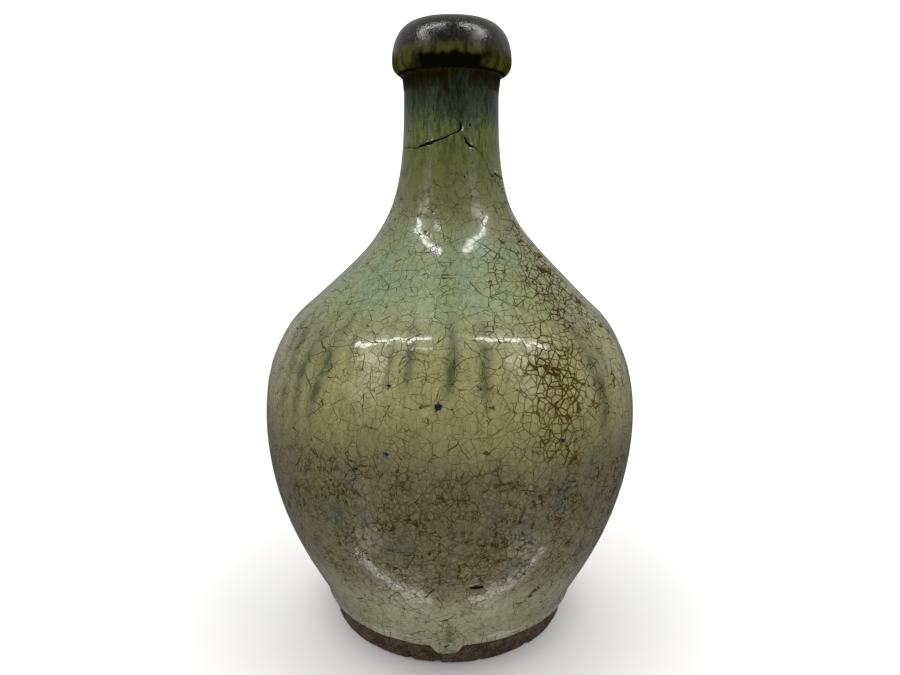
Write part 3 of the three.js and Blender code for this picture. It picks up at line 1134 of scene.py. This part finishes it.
def clay_material(name, light, dark, grit):
    """Mottled and matt, with grains about grit millimetres across."""
    material, graph, shader = new_material(name)
    place = graph.place()
    mottle = graph.ramp(graph.noise(place, 5, 4, 0.6), 0.35, 0.65)
    grains = graph.ramp(graph.noise(place, grit, 3, 0.7), 0.4, 0.62, 0.55, 1.35)
    graph.put(graph.shade(graph.mix(mottle, dark, light), grains), shader["Base Color"])
    shader["Roughness"].default_value = 0.85
    shader["Specular IOR Level"].default_value = 0.25
    graph.put(graph.bump(graph.noise(place, 0.6, 4, 0.7), 0.25), shader["Normal"])
    return material


# -------------- studio, in metres

WHITE = (1.0, 1.0, 1.0)
WARM = (1.0, 0.86, 0.80)

# Soft lights: name, direction from the shoulder, distance, width, height, radiance and colour.
PANELS = [
    ("strip_left", (-0.52, -0.23, 1.0), 1.1, 0.74, 0.07, 13.0, WHITE),
    ("strip_right", (0.56, -0.23, 1.0), 1.1, 0.76, 0.07, 12.0, WHITE),
    ("window_left", (-0.67, -0.40, 0.63), 1.2, 0.36, 0.2, 3.0, WARM),
    ("window_right", (0.63, -0.40, 0.68), 1.2, 0.36, 0.2, 3.0, WARM),
    ("window_small", (-0.25, -0.43, 0.86), 1.2, 0.26, 0.06, 5.0, WHITE),
    ("side_left", (-0.72, -0.58, 0.36), 1.3, 0.40, 0.5, 0.8, WHITE),
    ("side_right", (0.72, -0.60, 0.36), 1.3, 0.40, 0.5, 0.8, WHITE),
]
SHOULDER_MIDDLE = (0.0, 0.0, 0.133)
FLOOR_REACH = 30.0
FLOOR_DROP = 0.0001
SHEEN_DROP = 0.0003
CAMERA_PLACE = (0.0, -0.280, 0.1826)
CAMERA_DIP = math.radians(12.17)
CAMERA_ROLL = 0.0056
LENS = 26.0
SENSOR = 36.0


def facing(back):
    """The turn that points a light away from back, with its width level and to the right."""
    steep = abs(back.z) > 0.8
    level = Vector((1, 0, 0)) if steep else Vector((back.y, -back.x, 0))
    side = (level - back * level.dot(back)).normalized()
    if side.x < 0:
        side = -side
    return Matrix((side, back.cross(side), back)).transposed().to_4x4()


def make_panel(name, direction, distance, width, height, radiance, colour):
    """A rectangular soft light that faces the bottle's shoulder."""
    centre = Vector(SHOULDER_MIDDLE)
    back = Vector(direction).normalized()
    data = bpy.data.lights.new(name, "AREA")
    data.shape = "RECTANGLE"
    data.size = width
    data.size_y = height
    data.energy = radiance * math.pi * width * height
    data.color = colour
    light = link(name, data)
    light.matrix_world = Matrix.Translation(centre + back * distance) @ facing(back)


def make_floor(name, drop, material):
    mesh = bpy.data.meshes.new(name)
    turns = ((-1, -1), (1, -1), (1, 1), (-1, 1))
    corners = [(x * FLOOR_REACH, y * FLOOR_REACH, -drop) for x, y in turns]
    mesh.from_pydata(corners, [], [(0, 1, 2, 3)])
    mesh.materials.append(material)
    floor = link(name, mesh)
    return floor


def paper_material():
    """Pale paper that glows white away from the bottle: painted light, an emission that grows with
    distance from the bottle.
    """
    paper, graph, shader = new_material("floor_paper")
    shader["Base Color"].default_value = (0.97, 0.97, 0.97, 1)
    shader["Roughness"].default_value = 0.9
    shader["Specular IOR Level"].default_value = 0.0
    shader["Emission Color"].default_value = (1, 1, 1, 1)
    distance = graph.vector("LENGTH", graph.place())
    # Painted light: the paper glows, more the farther it lies from the bottle.
    graph.put(graph.ramp(distance, 400, 1050, 0.0, 1.3), shader["Emission Strength"])
    return paper


def sheen_material():
    """A dim mirror, for the floor as the glaze reflects it."""
    sheen, _, shader = new_material("floor_sheen")
    shader["Base Color"].default_value = (0.29, 0.29, 0.29, 1)
    shader["Metallic"].default_value = 1.0
    shader["Roughness"].default_value = 0.03
    return sheen


def make_floors():
    """Two floors: the paper that the camera sees, and the sheen that only reflections see."""
    paper = make_floor("floor", FLOOR_DROP, paper_material())
    paper.visible_glossy = False
    sheen = make_floor("floor_sheen", SHEEN_DROP, sheen_material())
    sheen.visible_camera = False
    sheen.visible_diffuse = False
    sheen.visible_shadow = False


def make_world():
    """A room that is bright behind and above, dimmer in reflections, and white to look at."""
    world = bpy.data.worlds.new("studio_white")
    bpy.context.scene.world = world
    world.use_nodes = True
    graph = Graph(world.node_tree)
    direction = graph.seat("ShaderNodeTexCoord").outputs["Generated"]
    ray = graph.seat("ShaderNodeLightPath").outputs
    behind = graph.ramp(graph.part(direction, 1), -0.5, 0.75, 0.0, 1.08)
    behind = graph.product(behind, graph.scaled(ray["Is Glossy Ray"], -0.76, 1.0))
    above = graph.ramp(graph.part(direction, 2), 0.1, 0.9, 0.2, 0.62)
    above = graph.product(above, graph.scaled(ray["Is Glossy Ray"], -0.85, 1.0))
    strength = graph.greatest(graph.math("ADD", behind, above), ray["Is Camera Ray"])
    background = world.node_tree.nodes["Background"]
    background.inputs["Color"].default_value = (1, 1, 1, 1)
    graph.put(strength, background.inputs["Strength"])


def make_camera():
    data = bpy.data.cameras.new("camera")
    data.lens = LENS
    data.sensor_width = SENSOR
    data.clip_start = 0.01
    data.clip_end = 100.0
    camera = link("camera", data)
    upright = Matrix.Rotation(math.pi / 2 - CAMERA_DIP, 4, "X")
    turned = upright @ Matrix.Rotation(CAMERA_ROLL, 4, "Z")
    camera.matrix_world = Matrix.Translation(CAMERA_PLACE) @ turned
    bpy.context.scene.camera = camera


# -------------- assembly

ash = glaze_material("ash_glaze")
green = glaze_material("green_glaze")
iron = iron_material()
foot_clay = clay_material("bare_clay", (0.125, 0.086, 0.052, 1), (0.070, 0.047, 0.028, 1), 0.9)
# Much darker than the foot's clay: partly the clay under the glaze, partly painted shade in the groove
# between foot and glaze.
clay_and_groove_shade = clay_material("body_clay", (0.022, 0.015, 0.009, 1), (0.012, 0.008, 0.005, 1), 1.2)
lining = clay_material("lining_glaze", (0.12, 0.11, 0.055, 1), (0.08, 0.075, 0.04, 1), 2.0)

finish_piece(make_ash_coat(), ash, "body_glaze")
finish_piece(make_green_coat(), green, "shoulder_glaze")
finish_piece(make_lip_glaze(), iron, "lip_glaze")
finish_piece(make_foot_ring(), foot_clay, "foot_ring")
finish_piece(make_lower_clay(), clay_and_groove_shade, "lower_body_wall")
inside = {
    "upper_body_wall": (clay_and_groove_shade, "body_clay"),
    "neck_tube": (clay_and_groove_shade, "body_clay"),
    "lip_collar": (clay_and_groove_shade, "body_clay"),
    "base_disc": (foot_clay, "bare_clay"),
    "interior_glaze": (lining, "lining_glaze"),
}
for node, (material, slot_name) in inside.items():
    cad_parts[node].data.materials.clear()
    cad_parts[node].data.materials.append(material)

for panel in PANELS:
    make_panel(*panel)
make_floors()
make_world()
make_camera()
bpy.context.scene.view_settings.view_transform = "Standard"
